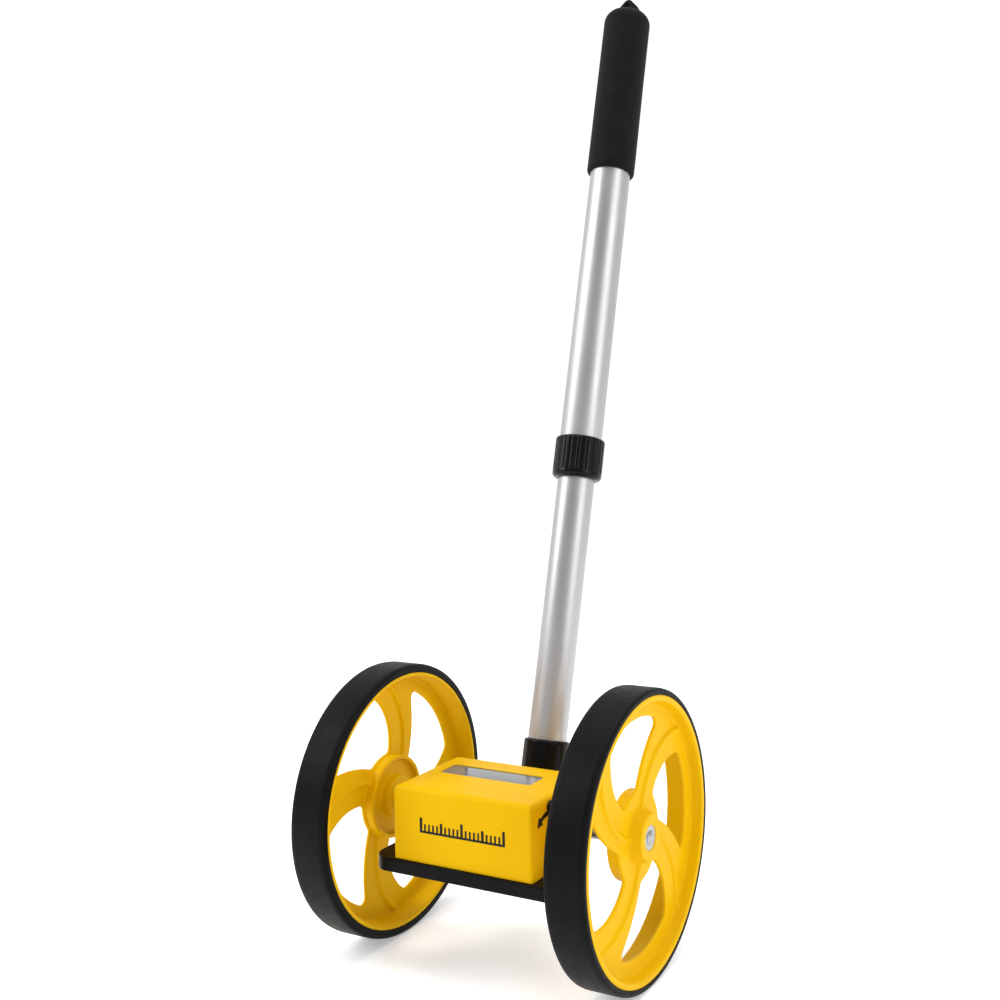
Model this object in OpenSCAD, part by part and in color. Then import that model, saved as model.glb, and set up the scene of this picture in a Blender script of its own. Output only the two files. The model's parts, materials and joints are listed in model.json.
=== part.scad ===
// Two-wheeled measuring wheel with a telescopic handle and a five-drum counter.
// Millimetres. Origin on the floor, midway between the tyres and under the axle.
// X runs along the axle, -Y is the front, +Y the side of the handle, +Z up.

/* [Wheels] */
// Distance rolled in one turn of the wheels
roll_per_turn = 500; // [470:1:520]
// Width of a tyre
tyre_w = 23.2; // [20:0.1:25]
// Thickness of a tyre's tread
tyre_t = 3.7; // [3:0.1:5]
// Distance between the middles of the two wheels
track = 162.5; // [160:0.5:180]
// Radius of the curve that a spoke's rib follows
spoke_curve_r = 47.5; // [46:0.5:49]
// Number of spokes
spoke_count = 4; // [4:1:4]
// Radius of the axle
axle_r = 3; // [2.8:0.1:3.1]

/* [Counter housing] */
// Width of the cover
cover_w = 90.5; // [90:0.5:94]
// Top of the cover above the axle
cover_top = 23.8; // [23.6:0.1:25]
// Wall of the cover
cover_wall = 2.2; // [1.8:0.1:2.4]
// Radius of the cover's edges
cover_round = 3.4; // [2:0.1:4]
// Length of the window
window_w = 61; // [60:0.5:63]
// Width of the window
window_d = 16.4; // [15:0.1:18]
// Width of the base
base_w = 121.4; // [118:0.2:124]
// Height of the base, from its top to the end of its skirt
base_h = 7.6; // [7:0.1:9]

/* [Counter] */
// Number of digit drums
drum_count = 5; // [5:1:5]
// Radius of a digit drum
drum_r = 7.5; // [7.3:0.1:7.5]
// Distance from drum to drum
drum_pitch = 10; // [10:0.1:10.2]

/* [Handle] */
// Lean of the handle back from upright, in degrees
lean = 15.65; // [15:0.01:16.5]
// Outer radius of the lower tube
lower_r = 12; // [12:0.1:12]
// Outer radius of the upper tube
upper_r = 13.84; // [13.8:0.01:14]
// Outer radius of the foam grip
grip_r = 16.6; // [16:0.1:18]
// Visible length of the lower tube, from the socket to the locking collar
lower_showing = 163.5; // [120:0.5:200]
// Length of the grip, without its domed end
grip_len = 118.4; // [100:0.2:130]

/* [Hidden] */
$fn = 72;

yellow = "gold";
black = "dimgray";
rubber = "darkslategray";
steel = "silver";
alloy = "lightgray";

fit = 0.05;             // running clearance, on the radius
seam = 0.3;             // gap between pieces that only pass each other
wheel_r = roll_per_turn / (2 * PI);
rim_r = wheel_r - tyre_t;
bead_r = rim_r - 1.3;   // rim under the tyre's inner bead
bead_w = 1.8;
wheel_x = track / 2;

// depths of the wheel's surfaces, from its outer face
web_front = 7.2;
web_back = 9.4;
web_mid = (web_front + web_back) / 2;
drum_back = 15.4;       // end of the ring on the hub's inner side
open_r = 63.6;          // outer edge of the openings between the spokes
hub_r = 25.3;           // inner edge of the openings
lip_r = 73;             // inner edge of the rim at the outer face
throat_r = 70.4;        // inner face of the rim at the web
ease = 0.6;             // slope and corner relief of the rim's section
boss_r = 12.4;
boss_top_r = 12.2;      // outer boss, a cone
boss_base_r = 15.5;
hub_end_r = 8.2;
floor_back = 11.9;      // flat floor inside the ring
boss_back = 17.4;       // end of the inner boss
ring_r = 24.3;
ring_bore = 21.8;
curve_offset = spoke_curve_r - 1;   // centre of a rib's curve from the axle
spoke_inside = 13.2;    // a spoke's inner edge from its rib
outside_r = 77.4;       // curve of a spoke's outer edge
outside_at = [68.1, -6.5];
rib_r = 2;
rib_sink = 0.3;         // centre of a rib's round below the web's surface
right_turn = -2.33;     // how far each wheel has rolled
left_turn = 45;

// counter housing, measured from the axle
cover_x = -0.8;
cover_front = -46.2;
cover_back = 18.5;
cover_mid = (cover_front + cover_back) / 2;
cover_depth = cover_back - cover_front;
base_front = -47.9;
base_step = -10;        // where its full width ends
base_round = 10.5;
middle_back = 19.5;     // where the part under the cover ends
tail_w = 52;            // part under the handle's socket
tail_round = 6;
base_back = 52;
base_wall = 1.8;
base_top = -17;
base_bottom = base_top - base_h;
plate = 2.2;            // thickness of the base's top
window_x = -5.6;
window_y = -6.2;
lens_top = cover_top - 0.3;
lens_t = 1.2;
mask_t = 0.4;
mask_top = lens_top - lens_t;
screw_x = 33;
screw_ys = [-39, 12.5];
post_r = 3.5;
pilot_r = 1.25;         // shank of the cover and frame screws
hole_r = 1.6;           // clearance hole for them
peg_r = 1.3;            // shank of the socket screws

// counter works: places in the plane across the axle, as [y, z]
drum_at = [window_y, mask_top - mask_t - 0.5 - drum_r];
drum_hub_r = 1.5;
tooth = 0.6;            // module of the drive gears
axle_teeth = 16;
idler_teeth = 24;
pinion_teeth = 12;
units_teeth = 16;
stage_1 = tooth * (axle_teeth + idler_teeth) / 2;
stage_2 = tooth * (pinion_teeth + units_teeth) / 2;
drum_reach = norm(drum_at);
drum_dir = atan2(drum_at[1], drum_at[0]);
idler_turn = acos((pow(stage_1, 2) + pow(drum_reach, 2) - pow(stage_2, 2)) / (2 * stage_1 * drum_reach));
idler_dir = drum_dir - idler_turn;
idler_at = stage_1 * [cos(idler_dir), sin(idler_dir)];
units_dir = atan2(drum_at[1] - idler_at[1], drum_at[0] - idler_at[0]);
transfer_tooth = 0.65;
ring_teeth = 20;
transfer_teeth = 8;
transfer_gap = transfer_tooth * (ring_teeth + transfer_teeth) / 2;
transfer_dir = 160;
transfer_at = drum_at + transfer_gap * [cos(transfer_dir), sin(transfer_dir)];
reset_at = [-25, 0];
rake_r = 2;
plate_x = 38;           // inner face of the frame's side plates
plate_t = 1.6;
units_w = 3;
middle_x = window_x + drum_count / 2 * drum_pitch + units_w + 0.6;  // frame's middle plate
first_drum_x = window_x - (drum_count - 1) / 2 * drum_pitch;
drum_half = drum_pitch / 2 - 0.2;
ring_w = 2;

// handle: places along its axis, from where it is level with the axle
handle_y = 41.11;
socket_top = 31.8;
socket_r = 14.2;
tube_bottom = -8;
lower_wall = 1.3;
lower_top = 352;
guide_top = 360;
upper_bore = lower_r + seam;
nut_bottom = socket_top + lower_showing;
nut_h = 27.2;
nut_top = nut_bottom + nut_h;
lip_h = 2.4;            // lip at the nut's top end
nut_r = 16.12;
seat_r = 14.9;          // sleeve that the locking nut turns on
upper_bottom = nut_bottom + 9.5;
grip_bottom = nut_bottom + 217.3;
grip_top = grip_bottom + grip_len;
dome = 8.6;
upper_top = grip_top + 5;
cap_r = 7.7;
cap_stem_r = 4;
lug_top = grip_top + dome + 11.4;
eye = lug_top - 5.2;
eye_r = 1.8;
bolt_along = 6;
bolt_r = 2;
socket_plate = 3;

recess_d = 1.7;         // screw recess in a wheel's outer face
axle_end = wheel_x + tyre_w / 2 - recess_d;
washer_t = 0.9;
washer_r = 6.5;
bush_r = 5;             // plastic bush in the free wheel
bearing_r = 5.2;        // bearing bushes in the cover and the frame
flange_r = 7.4;
recess_r = 6.7;         // screw recess in a wheel's outer face
spacer_r = 5.4;
hub_top = 18.2;         // end of a wheel's hub, from its outer face
frame_floor_t = 1.6;
frame_screws = [-20, 12];
frame_screw_y = -20;
rake_end = 1.6;         // depth of the rake's end in the lever
head_r = 3.9;           // dome-headed screws at the ends of the axle
cover_screws = [for (x = [cover_x - screw_x, cover_x + screw_x]) for (y = screw_ys) [x, y]];
socket_screws = [for (x = [-19.5, 19.5]) for (y = [30, 45]) [x, y]];
drive_x = middle_x + plate_t + 1.2;
drive_w = 3.2;
units_x = middle_x - units_w - 0.4;
slack = 0.75;           // share of the full tooth width left, for backlash
transfer_slack = 0.7;

// outer face of the cover and end of its bearing, on the right (1) or the left (-1)
function wall_x(side) = cover_w / 2 + side * cover_x;
function bush_end(side) = wall_x(side) + 1.6;

module lift() {
    translate([0, 0, wheel_r]) children();
}

// flat drawing in [y, z] stood up and thickened along X, from x
module across(x, t) {
    translate([x, 0, wheel_r]) rotate([90, 0, 90]) linear_extrude(t) children();
}

// round bar along X, from x
module rod(at, x, len, r) {
    translate([x, at[0], wheel_r + at[1]]) rotate([0, 90, 0]) cylinder(r = r, h = len);
}

// along the handle, s from the level of the axle
module handle(s) {
    translate([0, handle_y, wheel_r]) rotate([-lean, 0, 0]) translate([0, 0, s]) children();
}

module pipe(r, bore, len) {
    difference() {
        cylinder(r = r, h = len);
        translate([0, 0, -1]) cylinder(r = bore, h = len + 2);
    }
}

module rounded_rect(w, d, r) {
    square([w - 2 * r, d], center = true);
    square([w, d - 2 * r], center = true);
    for (i = [-1, 1])
        for (j = [-1, 1])
            translate([i * (w / 2 - r), j * (d / 2 - r)]) circle(r);
}

// spur gear outline with straight flanks; thin narrows the teeth for backlash
function gear_points(teeth, size, thin) = [
    for (i = [0 : teeth - 1])
        for (corner = [[-1, -1.2, 0.42], [-1, 0.9, 0.17], [1, 0.9, 0.17], [1, -1.2, 0.42]])
            let (r = size * (teeth / 2 + corner[1]), a = 360 / teeth * (i + corner[0] * corner[2] * thin))
                [r * cos(a), r * sin(a)]
];

module gear(teeth, size, turn, thin) {
    rotate(turn) polygon(gear_points(teeth, size, thin));
}

// ---- wheels -------------------------------------------------------------

module tyre() {
    edge = 1.6;
    rotate_extrude($fn = 180) polygon([
        [rim_r, 0], [wheel_r - edge, 0], [wheel_r - edge * 0.3, edge * 0.3], [wheel_r, edge],
        [wheel_r, tyre_w - edge], [wheel_r - edge * 0.3, tyre_w - edge * 0.3], [wheel_r - edge, tyre_w],
        [bead_r, tyre_w], [bead_r, tyre_w - bead_w], [rim_r, tyre_w - bead_w]]);
}

module rim() {
    rotate_extrude($fn = 180) polygon([
        [lip_r, 0], [rim_r, 0], [rim_r, tyre_w - bead_w], [bead_r, tyre_w - bead_w], [bead_r, tyre_w],
        [lip_r - ease, tyre_w], [throat_r + ease / 2, web_back], [open_r + ease, web_back],
        [open_r + ease, web_front], [throat_r - ease, web_front], [throat_r + ease, web_front - 2 * ease],
        [lip_r - ease, ease]]);
}

// one spoke's outline, before it is trimmed to the rim and the hub
module spoke_outline() {
    difference() {
        intersection() {
            translate(outside_at) circle(outside_r, $fn = 180);
            translate([-spoke_curve_r, 0]) square([spoke_curve_r * 3, rim_r]);
        }
        translate([curve_offset, 0]) circle(spoke_curve_r - spoke_inside, $fn = 180);
    }
}

// an opening has the corners rounded by shrinking and growing it
module openings() {
    corner = 3.5;
    offset(r = corner, $fn = 40) offset(delta = -corner) difference() {
        circle(open_r, $fn = 180);
        circle(hub_r, $fn = 120);
        for (i = [0 : spoke_count - 1])
            rotate(i * 360 / spoke_count) spoke_outline();
    }
}

module ribs(depth) {
    start = 83;
    sweep = 82;
    for (i = [0 : spoke_count - 1])
        rotate(i * 360 / spoke_count) translate([curve_offset, 0, depth]) rotate(start)
            rotate_extrude(angle = sweep, $fn = 180) translate([spoke_curve_r, 0]) circle(rib_r, $fn = 24);
}

// wheel with its outer face at z = 0 and its inner side up
module wheel(bore) {
    boss_face = 0.4;
    difference() {
        union() {
            rim();
            difference() {
                translate([0, 0, web_front]) linear_extrude(web_back - web_front)
                circle(open_r + 1, $fn = 180);
                translate([0, 0, web_front - 1]) linear_extrude(web_back - web_front + 2) openings();
            }
            ribs(web_front + rib_sink);
            ribs(web_back - rib_sink);
            translate([0, 0, boss_face])
                cylinder(r1 = boss_top_r, r2 = boss_base_r, h = web_front - boss_face);
            translate([0, 0, web_mid]) pipe(ring_r, ring_bore, drum_back - web_mid);
            translate([0, 0, web_mid]) cylinder(r = ring_bore + 0.5, h = floor_back - web_mid);
            translate([0, 0, web_mid]) cylinder(r = boss_r, h = boss_back - web_mid);
            translate([0, 0, web_mid]) cylinder(r = hub_end_r, h = hub_top - web_mid);
        }
        translate([0, 0, -1]) cylinder(r = bore, h = tyre_w + 3);
        translate([0, 0, -1]) cylinder(r = recess_r, h = recess_d + 1);
    }
}

// a wheel's own frame turned to face outwards; both wheels come from one mould
module on_side(side) {
    x = wheel_x + tyre_w / 2;
    if (side > 0)
        lift() translate([x, 0, 0]) rotate([90, 0, -90]) mirror([1, 0, 0]) children();
    else
        lift() rotate([0, 0, 180]) translate([x, 0, 0]) rotate([90, 0, -90]) mirror([1, 0, 0]) children();
}

module right_wheel() {
    color(yellow) on_side(1) rotate(right_turn) wheel(axle_r);
}

module left_wheel() {
    color(yellow) on_side(-1) rotate(left_turn) wheel(bush_r);
}

module right_tyre() {
    color(rubber) on_side(1) tyre();
}

module left_tyre() {
    color(rubber) on_side(-1) tyre();
}

module left_hub_bush() {
    color("tan") on_side(-1) translate([0, 0, recess_d]) pipe(bush_r, axle_r + fit, hub_top - recess_d);
}

// ---- axle ---------------------------------------------------------------

module axle() {
    color(steel) rod([0, 0], -axle_end, 2 * axle_end, axle_r);
}

module end_washer(side) {
    color(steel) on_side(side) translate([0, 0, recess_d - washer_t]) pipe(washer_r, 2, washer_t);
}

module right_washer() {
    end_washer(1);
}

module left_washer() {
    end_washer(-1);
}

// dome-headed screw, its shank in the end of the axle
module end_screw(side) {
    head_base = recess_d - washer_t;
    dome_h = 1.6;
    rim_r = head_r + 0.3;
    curve = (rim_r * rim_r + dome_h * dome_h) / (2 * dome_h);
    color(steel) on_side(side) {
        intersection() {
            translate([0, 0, head_base - dome_h + curve]) sphere(r = curve);
            translate([0, 0, head_base - dome_h]) cylinder(r = head_r, h = dome_h);
        }
        translate([0, 0, head_base]) cylinder(r = 2, h = washer_t);
    }
}

module right_end_screw() {
    end_screw(1);
}

module left_end_screw() {
    end_screw(-1);
}

module spacer(side) {
    start = bush_end(side) + seam;
    color(steel) lift() rotate([0, side * 90, 0]) translate([0, 0, start])
        pipe(spacer_r, axle_r, wheel_x + tyre_w / 2 - hub_top - seam - start);
}

module right_spacer() {
    spacer(1);
}

module left_spacer() {
    spacer(-1);
}

module axle_bush(side) {
    flange_from = wall_x(side) + 0.1;
    color(black) lift() rotate([0, side * 90, 0]) difference() {
        union() {
            translate([0, 0, plate_x]) cylinder(r = bearing_r, h = bush_end(side) - plate_x);
            translate([0, 0, flange_from]) cylinder(r = flange_r, h = bush_end(side) - flange_from);
        }
        cylinder(r = axle_r + fit, h = bush_end(side) + 1);
    }
}

module axle_bush_right() {
    axle_bush(1);
}

module axle_bush_left() {
    axle_bush(-1);
}

module axle_gear() {
    color("ivory") difference() {
        across(drive_x, drive_w) gear(axle_teeth, tooth, idler_dir, slack);
        rod([0, 0], drive_x - 1, drive_w + 2, axle_r);
    }
}

// ---- counter housing ----------------------------------------------------

// plan of the base: wide in front, as wide as the cover behind, narrow under the socket
module base_outline(inset) {
    lap = 20;
    margin = 0.75;
    middle_round = 3;
    front_d = base_step - base_front;
    middle_d = middle_back - base_step + lap;
    tail_d = base_back - middle_back + lap;
    translate([0, base_front + front_d / 2])
        rounded_rect(base_w - 2 * inset, front_d - 2 * inset, base_round - inset);
    translate([cover_x, middle_back - middle_d / 2])
        rounded_rect(cover_w + 2 * margin - 2 * inset, middle_d - 2 * inset, middle_round - inset);
    translate([0, base_back - tail_d / 2])
        rounded_rect(tail_w - 2 * inset, tail_d - 2 * inset, tail_round - inset);
}

// flat-topped base with a skirt all round, open below
module base_plate() {
    color(black) difference() {
        translate([0, 0, wheel_r + base_bottom]) linear_extrude(base_h) base_outline(0);
        translate([0, 0, wheel_r + base_bottom - 1]) linear_extrude(base_h + 1 - plate)
            base_outline(base_wall);
        for (place = cover_screws)
            translate([place[0], place[1], wheel_r + base_bottom]) cylinder(r = hole_r, h = base_h + 1);
        for (x = frame_screws)
            translate([x, frame_screw_y, wheel_r + base_bottom]) cylinder(r = hole_r, h = base_h + 1);
        for (place = socket_screws)
            translate([place[0], place[1], wheel_r + base_bottom]) cylinder(r = peg_r, h = base_h + 1);
    }
}

// box with rounded upright and top edges
module cover_block(w, d, h, r) {
    hull() {
        for (i = [-1, 1])
            for (j = [-1, 1]) {
                translate([i * (w / 2 - r), j * (d / 2 - r), h - r]) sphere(r, $fn = 32);
                translate([i * (w / 2 - r), j * (d / 2 - r), 0]) cylinder(r = r, h = 1, $fn = 32);
            }
    }
}

module counter_cover() {
    height = cover_top - base_top;
    ledge = 1.5;
    drop = lens_top - lens_t - base_top;
    color(yellow) translate([0, 0, wheel_r + base_top]) difference() {
        union() {
            difference() {
                translate([cover_x, cover_mid, 0]) cover_block(cover_w, cover_depth, height, cover_round);
                translate([cover_x - cover_w / 2 + cover_wall, cover_front + cover_wall, -1])
                    cube([cover_w - 2 * cover_wall, cover_depth - 2 * cover_wall, height + 1 - cover_wall]);
            }
            for (place = cover_screws)
                translate([place[0], place[1], 0]) cylinder(r = post_r, h = height - 1);
        }
        translate([window_x, window_y, drop]) linear_extrude(5) rounded_rect(window_w, window_d, 2);
        translate([window_x, window_y, drop - 10]) linear_extrude(20)
            square([window_w - 2 * ledge, window_d - 2 * ledge], center = true);
        for (place = cover_screws)
            translate([place[0], place[1], -1]) cylinder(r = pilot_r, h = 12);
        translate([-cover_w, 0, -base_top]) rotate([0, 90, 0]) cylinder(r = bearing_r, h = 2 * cover_w);
        translate([wall_x(1) - 4, reset_at[0], reset_at[1] - base_top]) rotate([0, 90, 0])
            cylinder(r = rake_r + 0.4, h = 8);
    }
}

module window_lens() {
    color("lightblue", 0.5) translate([window_x, window_y, wheel_r + lens_top - lens_t])
        linear_extrude(lens_t) rounded_rect(window_w, window_d, 2);
}

// dark plate under the lens, with one slot for the row of digits
module counter_mask() {
    slot_w = drum_count * drum_pitch;
    slot_d = 9.5;
    color(black) translate([window_x, window_y, wheel_r + mask_top - mask_t]) linear_extrude(mask_t)
        difference() {
            square([window_w - 3.2, window_d - 3.2], center = true);
            square([slot_w, slot_d], center = true);
        }
}

// cross-headed screw driven upwards, its head under the base's top
module screw_up(place, r, len) {
    head_h = 1.4;
    slot_w = 0.8;
    translate([place[0], place[1], wheel_r + base_top - plate]) difference() {
        union() {
            translate([0, 0, -head_h]) cylinder(r = 2 * r, h = head_h);
            cylinder(r = r, h = len);
        }
        for (turn = [0, 90])
            rotate(turn) translate([-head_h * r, -slot_w / 2, -head_h - 1])
                cube([2 * head_h * r, slot_w, 1.6]);
    }
}

module cover_screw(i) {
    color(steel) screw_up(cover_screws[i - 1], pilot_r, 10);
}

module cover_screw_1() {
    cover_screw(1);
}

module cover_screw_2() {
    cover_screw(2);
}

module cover_screw_3() {
    cover_screw(3);
}

module cover_screw_4() {
    cover_screw(4);
}

module frame_screw_1() {
    color(steel) screw_up([frame_screws[0], frame_screw_y], pilot_r, plate + frame_floor_t);
}

module frame_screw_2() {
    color(steel) screw_up([frame_screws[1], frame_screw_y], pilot_r, plate + frame_floor_t);
}

module socket_screw(i) {
    color(steel) screw_up(socket_screws[i - 1], peg_r, plate + socket_plate);
}

module socket_screw_1() {
    socket_screw(1);
}

module socket_screw_2() {
    socket_screw(2);
}

module socket_screw_3() {
    socket_screw(3);
}

module socket_screw_4() {
    socket_screw(4);
}

// ---- counter works ------------------------------------------------------

module side_plate(x) {
    difference() {
        across(x, plate_t)
            polygon([[-34, base_top], [13, base_top], [13, 14], [6, 19.5], [-20, 19.5], [-34, 6]]);
        rod([0, 0], x - 1, plate_t + 2, bearing_r);
        rod(reset_at, x - 1, plate_t + 2, rake_r + fit);
    }
}

module counter_frame() {
    floor_front = -32;
    floor_back = 8.5;
    color("lightsteelblue") difference() {
        union() {
            side_plate(plate_x);
            side_plate(-plate_x - plate_t);
            across(middle_x, plate_t)
                polygon([[-18, base_top], [8.5, base_top], [8.5, 14], [5, 19.5], [-18, 19.5]]);
            translate([-plate_x, floor_front, wheel_r + base_top])
                cube([2 * plate_x, floor_back - floor_front, frame_floor_t]);
        }
        rod(drum_at, -plate_x - plate_t - 1, plate_t + 2, drum_hub_r + fit);
        rod(drum_at, middle_x - 1, plate_t + 2, drum_hub_r + fit);
        rod([0, 0], middle_x - 1, plate_t + 2, 2 * axle_r);
        rod(idler_at, middle_x - 1, plate_t + 2, drum_hub_r + fit);
        rod(idler_at, plate_x - 1, plate_t + 2, drum_hub_r + fit);
        rod(transfer_at, -plate_x - plate_t - 1, plate_t + 2, 1);
        rod(transfer_at, middle_x - 1, plate_t + 2, 1);
        for (x = frame_screws)
            translate([x, frame_screw_y, wheel_r + base_top - 1])
                cylinder(r = pilot_r, h = frame_floor_t + 2);
    }
}

module transfer_shaft() {
    color(steel) rod(transfer_at, -plate_x - plate_t, plate_x + middle_x + 2 * plate_t, 1);
}

module idler_arbor() {
    color("ivory") union() {
        rod(idler_at, units_x, plate_x + plate_t - units_x, drum_hub_r);
        across(drive_x, drive_w) translate(idler_at)
            gear(idler_teeth, tooth, idler_dir + 180 + 180 / idler_teeth, slack);
        across(units_x, units_w) translate(idler_at) gear(pinion_teeth, tooth, units_dir, slack);
    }
}

// shaft that carries the drums; the first drum is fixed on it
module units_arbor() {
    color("ivory") union() {
        rod(drum_at, -plate_x - plate_t, plate_x + middle_x + 2 * plate_t, drum_hub_r);
        across(units_x, units_w) translate(drum_at)
            gear(units_teeth, tooth, units_dir + 180 + 180 / units_teeth, slack);
    }
}

module drum(i) {
    x = first_drum_x + (i - 1) * drum_pitch;
    bore = i == 1 ? drum_hub_r : drum_hub_r + fit;
    color("whitesmoke") difference() {
        union() {
            rod(drum_at, x - drum_half + ring_w, 2 * drum_half - ring_w, drum_r);
            if (i == 1)
                rod(drum_at, x - drum_half, ring_w, 4.5);
            else
                across(x - drum_half, ring_w) translate(drum_at)
                    gear(ring_teeth, transfer_tooth, transfer_dir, transfer_slack);
        }
        rod(drum_at, x - drum_half - 1, 2 * drum_half + 2, bore);
        difference() {
            rod(drum_at, x + drum_half - 1.2, 3, drum_r - 1.2);
            rod(drum_at, x + drum_half - 2, 4, 2.8);
        }
    }
}

module counter_drum_1() {
    drum(1);
}

module counter_drum_2() {
    drum(2);
}

module counter_drum_3() {
    drum(3);
}

module counter_drum_4() {
    drum(4);
}

module counter_drum_5() {
    drum(5);
}

module transfer_pinion(i) {
    x = first_drum_x + i * drum_pitch - drum_half;
    color("ivory") difference() {
        across(x + 0.2, ring_w - 0.4) translate(transfer_at)
            gear(transfer_teeth, transfer_tooth, transfer_dir + 180 + 180 / transfer_teeth, transfer_slack);
        rod(transfer_at, x - 1, ring_w + 2, 1 + fit);
    }
}

module transfer_pinion_1() {
    transfer_pinion(1);
}

module transfer_pinion_2() {
    transfer_pinion(2);
}

module transfer_pinion_3() {
    transfer_pinion(3);
}

module transfer_pinion_4() {
    transfer_pinion(4);
}

// lever on the right of the housing, with its thumb pad near the top edge
module reset_lever() {
    arm = 18.6;
    arm_w = 4.4;
    tilt = 5.3;
    pad_r = 3.6;
    x = wall_x(1) + 0.6;
    color(black) difference() {
        union() {
            rod(reset_at, x, 3, 5);
            across(x, 2.2) translate(reset_at) rotate(90 + tilt) translate([0, -arm_w / 2])
                square([arm, arm_w]);
            across(x, 4.6) translate(reset_at) rotate(90 + tilt) translate([arm, 0]) circle(pad_r);
        }
        rod(reset_at, x - 1, 1 + rake_end, rake_r);
    }
}

module reset_rake() {
    reach = 15;
    tine = 2;
    color(steel) union() {
        rod(reset_at, -plate_x - plate_t, plate_x + plate_t + wall_x(1) + 0.6 + rake_end, rake_r);
        for (i = [1 : drum_count])
            across(first_drum_x + (i - 1) * drum_pitch, tine) translate(reset_at) translate([0, -tine / 2])
                square([reach, tine]);
    }
}

module reset_spring() {
    wire = 0.45;
    rings = 6;
    color(steel) translate([plate_x - 5.7, reset_at[0], wheel_r + reset_at[1]]) rotate([0, 90, 0])
        for (i = [1 : rings])
            translate([0, 0, i * 0.85]) rotate_extrude($fn = 48) translate([rake_r + 2 * wire, 0])
                circle(wire, $fn = 16);
}

// curved arrow on the right of the cover, from the lever to the front
module reset_arrow() {
    arc_at = [-29, 0.7];
    bend_r = 14.6;
    thick = 2.3;
    from = 88;
    to = 120;
    head_w = 6.1;
    head_l = 4.7;
    head_turn = 9;
    far = 2 * bend_r;
    color("black") across(wall_x(1), 0.3) translate(arc_at) {
        intersection() {
            difference() {
                circle(bend_r + thick / 2, $fn = 96);
                circle(bend_r - thick / 2, $fn = 96);
            }
            polygon([[0, 0], far * [cos(from), sin(from)], far * [cos(to), sin(to)]]);
        }
        rotate(to - 0.5) translate([bend_r, 0]) rotate(head_turn)
            polygon([[-head_w / 2, 0], [head_w / 2, 0], [0, head_l]]);
    }
}

// ---- handle -------------------------------------------------------------

module handle_socket() {
    gusset_t = 3;
    front = cover_back + 0.4;
    flange_w = 48;
    flange_d = base_back - 2 - front;
    rim_h = 1;
    color(black) difference() {
        union() {
            translate([-flange_w / 2, front, wheel_r + base_top]) cube([flange_w, flange_d, socket_plate]);
            handle(-30) cylinder(r = socket_r, h = socket_top + 30 - rim_h);
            handle(socket_top - rim_h) cylinder(r1 = socket_r, r2 = socket_r - 0.8, h = rim_h);
            for (side = [-1, 1])
                translate([0, 38, wheel_r + base_top]) rotate([90, 0, 0]) linear_extrude(gusset_t)
                    polygon([[side * 10, 0], [side * 23, 0], [side * 23, 5], [side * 12, 26]]);
        }
        handle(tube_bottom) cylinder(r = lower_r, h = 60);
        translate([-60, -60, wheel_r + base_top - 50]) cube([120, 200, 50]);
        handle(bolt_along) rotate([0, 90, 0]) cylinder(r = bolt_r + fit, h = 60, center = true);
        for (place = socket_screws)
            translate([place[0], place[1], wheel_r + base_top - 1])
                cylinder(r = peg_r, h = socket_plate + 2);
    }
}

module lower_tube() {
    color(alloy) difference() {
        handle(tube_bottom) pipe(lower_r, lower_r - lower_wall, lower_top - tube_bottom);
        handle(bolt_along) rotate([0, 90, 0]) cylinder(r = bolt_r + fit, h = 60, center = true);
    }
}

module socket_bolt() {
    seat = socket_r + 0.2;
    color(steel) handle(bolt_along) rotate([0, 90, 0]) union() {
        translate([0, 0, -seat - 3]) cylinder(r = bolt_r, h = 2 * seat + 3);
        translate([0, 0, seat]) cylinder(r = 3.6, h = 2.2);
    }
}

module socket_nut() {
    nut_t = 2.8;
    color(steel) handle(bolt_along) rotate([0, -90, 0]) translate([0, 0, socket_r + 0.2]) difference() {
        cylinder(r = 4, h = nut_t, $fn = 6);
        translate([0, 0, -1]) cylinder(r = bolt_r, h = nut_t + 2);
    }
}

// plug in the top of the lower tube; its shoulder runs in the upper tube
module guide_plug() {
    color(black) union() {
        handle(lower_top - 14) cylinder(r = lower_r - lower_wall, h = 14);
        handle(lower_top) cylinder(r = upper_bore - 0.1, h = guide_top - lower_top - 1);
        handle(guide_top - 1) cylinder(r1 = upper_bore - 0.1, r2 = upper_bore - 1, h = 1);
    }
}

module upper_tube() {
    color(alloy) handle(upper_bottom) pipe(upper_r, upper_bore, upper_top - upper_bottom);
}

// sleeve on the end of the upper tube, inside the locking nut
module lock_seat() {
    color(black) handle(upper_bottom) pipe(seat_r, upper_r, nut_top - lip_h - seam - upper_bottom);
}

// split ring that the nut squeezes onto the lower tube
module lock_collet() {
    collet_h = 6;
    slit = 0.8;
    color("ivory") difference() {
        handle(nut_bottom + 3) pipe(seat_r - 0.6, lower_r + fit, collet_h);
        handle(nut_bottom + 3) translate([0, -20, -1]) cube([slit, 10, collet_h + 2]);
    }
}

// fluted locking nut, with a lip at each end
module lock_nut() {
    flutes = 28;
    flute_r = 0.95;
    flute_from = 5;
    low_round = 2.8;
    high_round = 1.8;
    color(black) handle(nut_bottom) difference() {
        union() {
            cylinder(r1 = nut_r - low_round, r2 = nut_r, h = low_round);
            translate([0, 0, low_round]) cylinder(r = nut_r, h = nut_h - low_round - high_round);
            translate([0, 0, nut_h - high_round])
                cylinder(r1 = nut_r, r2 = nut_r - high_round * 0.7, h = high_round);
        }
        translate([0, 0, -1]) cylinder(r = lower_r + 0.4, h = nut_h);
        translate([0, 0, 2.6]) cylinder(r = seat_r + fit, h = nut_h - 2.6 - lip_h);
        translate([0, 0, nut_h - lip_h - 1]) cylinder(r = upper_r + seam, h = lip_h + 2);
        for (i = [0 : flutes - 1])
            rotate(i * 360 / flutes) translate([nut_r + 0.6, 0, flute_from])
                cylinder(r = flute_r, h = nut_h - flute_from + 1, $fn = 16);
    }
}

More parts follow.
